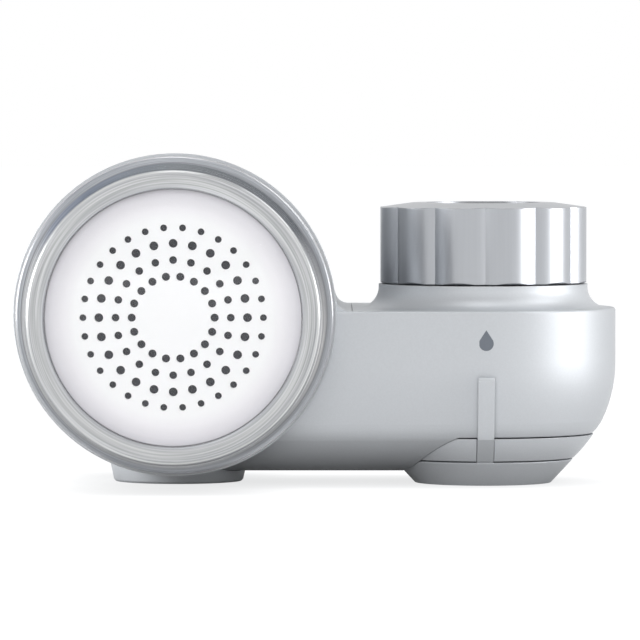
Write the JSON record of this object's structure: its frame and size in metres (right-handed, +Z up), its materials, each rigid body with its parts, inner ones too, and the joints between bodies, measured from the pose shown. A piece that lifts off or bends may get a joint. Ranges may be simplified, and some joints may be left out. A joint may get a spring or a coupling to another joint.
{
  "type": "faucet mount water filter",
  "caption": "Faucet mount water filter: round filter drum with a clear screw cap on an arm, fluted swivel nut on top and a lever-turned diverter outlet below.",
  "frame": {"origin": "on the faucet axis, in the mouth of the inlet thread", "axes": "+Z up along the faucet axis, -Y towards the clear cap, -X towards the filter drum"},
  "size_m": [0.134, 0.087, 0.0742],
  "materials": {
    "satin_silver": "satin silver paint",
    "satin_chrome": "satin chrome plating",
    "clear_plastic": "clear polished",
    "white_plastic": "white moulded",
    "inner_plastic": "plain moulded",
    "black_rubber": "soft rubber",
    "clear_silicone": "translucent silicone",
    "nickel": "nickel-plated brass",
    "steel": "stainless",
    "dark_fleece": "needled fleece",
    "carbon": "pressed carbon"
  },
  "bodies": {
    "housing": {"housing_body": "satin_silver", "top_cover": "satin_silver", "back_cover": "satin_silver", "inlet_spigot": "inner_plastic", "spigot_seal": "black_rubber", "inlet_washer": "black_rubber", "inlet_screen": "steel", "raw_water_duct": "inner_plastic", "filtered_channel": "inner_plastic", "valve_retainer": "inner_plastic", "outlet_foot": "satin_silver", "foot_nozzle": "inner_plastic"},
    "nut": {"swivel_nut": "satin_chrome", "thread_insert": "nickel"},
    "diverter": {"valve_rotor": "inner_plastic", "rotor_seals": "black_rubber", "port_seal": "black_rubber", "diverter_ring": "satin_silver", "outlet_ring": "satin_silver", "spray_plate": "inner_plastic", "hub_screw": "steel"},
    "cartridge": {"cartridge_case": "white_plastic", "face_disc": "white_plastic", "sediment_pad": "dark_fleece", "filter_block": "carbon", "stem_seal": "black_rubber"},
    "cap": {"clear_cap": "clear_plastic", "cap_seal": "clear_silicone"}
  },
  "joints": [
    {"name": "nut_turn", "type": "hinge", "parent": "housing", "child": "nut", "pos_m": [0, 0, 0], "axis": [0, 0, 1], "continuous": true},
    {"name": "lever_turn", "type": "hinge", "parent": "housing", "child": "diverter", "pos_m": [0, 0, -0.05], "axis": [0, 0, 1], "range_deg": [0, 90]},
    {"name": "cartridge_slide", "type": "slide", "parent": "housing", "child": "cartridge", "axis": [0, -1, 0], "range_m": [0, 0.07]},
    {"name": "cap_turn", "type": "hinge", "parent": "cartridge", "child": "cap", "pos_m": [-0.06865, -0.04, -0.02285], "axis": [0, -1, 0], "range_deg": [0, 360]}
  ]
}
